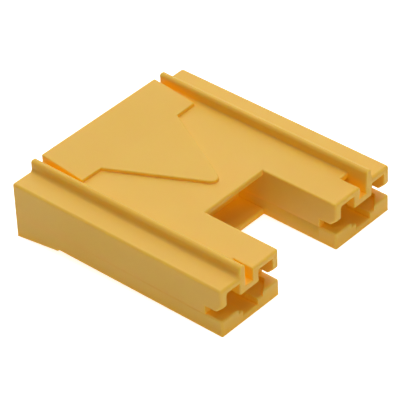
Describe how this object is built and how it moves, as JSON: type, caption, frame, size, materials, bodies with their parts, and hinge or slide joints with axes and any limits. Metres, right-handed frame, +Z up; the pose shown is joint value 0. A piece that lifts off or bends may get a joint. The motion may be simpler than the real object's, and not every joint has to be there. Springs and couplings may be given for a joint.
{
  "type": "two-prong link plug",
  "caption": "Flat moulded plug-in housing with a U-shaped notch between prongs with keyed open mouths, an arrow thumb plate between raised rails, and a hidden link bar with sprung contacts.",
  "frame": {"origin": "middle of the bounding box, at the height of the rear foot's lowest edge", "axes": "+X from the rear face towards the prong tips, +Y to the left, +Z up through the thumb plate"},
  "size_m": [0.0386, 0.036, 0.011],
  "materials": {
    "shell_plastic": "warm yellow, satin, slightly translucent",
    "link_copper": "rolled copper strip",
    "contact_bronze": "rolled phosphor bronze",
    "rivet_steel": "zinc plated",
    "clip_steel": "blued spring steel"
  },
  "bodies": {
    "housing": {"lower_shell": "shell_plastic", "link_bar": "link_copper", "left_rivet": "rivet_steel", "right_rivet": "rivet_steel", "left_backup_clip": "clip_steel", "right_backup_clip": "clip_steel"},
    "cover": {"upper_shell": "shell_plastic"},
    "left_upper_leaf": {"left_upper_leaf": "contact_bronze"},
    "left_lower_leaf": {"left_lower_leaf": "contact_bronze"},
    "right_upper_leaf": {"right_upper_leaf": "contact_bronze"},
    "right_lower_leaf": {"right_lower_leaf": "contact_bronze"}
  },
  "joints": [
    {"name": "cover_lift", "type": "slide", "parent": "housing", "child": "cover", "axis": [0, 0, 1], "range_m": [0, 0.012]},
    {"name": "left_upper_leaf_flex", "type": "hinge", "parent": "housing", "child": "left_upper_leaf", "pos_m": [0.0015, 0.01205, 0.00565], "axis": [0, -1, 0], "range_deg": [0, 3], "stiffness_Nm_per_rad": 0.02},
    {"name": "left_lower_leaf_flex", "type": "hinge", "parent": "housing", "child": "left_lower_leaf", "pos_m": [0.0015, 0.01205, 0.00415], "axis": [0, 1, 0], "range_deg": [0, 3], "stiffness_Nm_per_rad": 0.02},
    {"name": "right_upper_leaf_flex", "type": "hinge", "parent": "housing", "child": "right_upper_leaf", "pos_m": [0.0015, -0.01205, 0.00565], "axis": [0, -1, 0], "range_deg": [0, 3], "stiffness_Nm_per_rad": 0.02},
    {"name": "right_lower_leaf_flex", "type": "hinge", "parent": "housing", "child": "right_lower_leaf", "pos_m": [0.0015, -0.01205, 0.00415], "axis": [0, 1, 0], "range_deg": [0, 3], "stiffness_Nm_per_rad": 0.02}
  ],
  "couplings": [
    {"joint": "left_lower_leaf_flex", "follows": "left_upper_leaf_flex", "ratio": 1},
    {"joint": "right_lower_leaf_flex", "follows": "right_upper_leaf_flex", "ratio": 1}
  ]
}
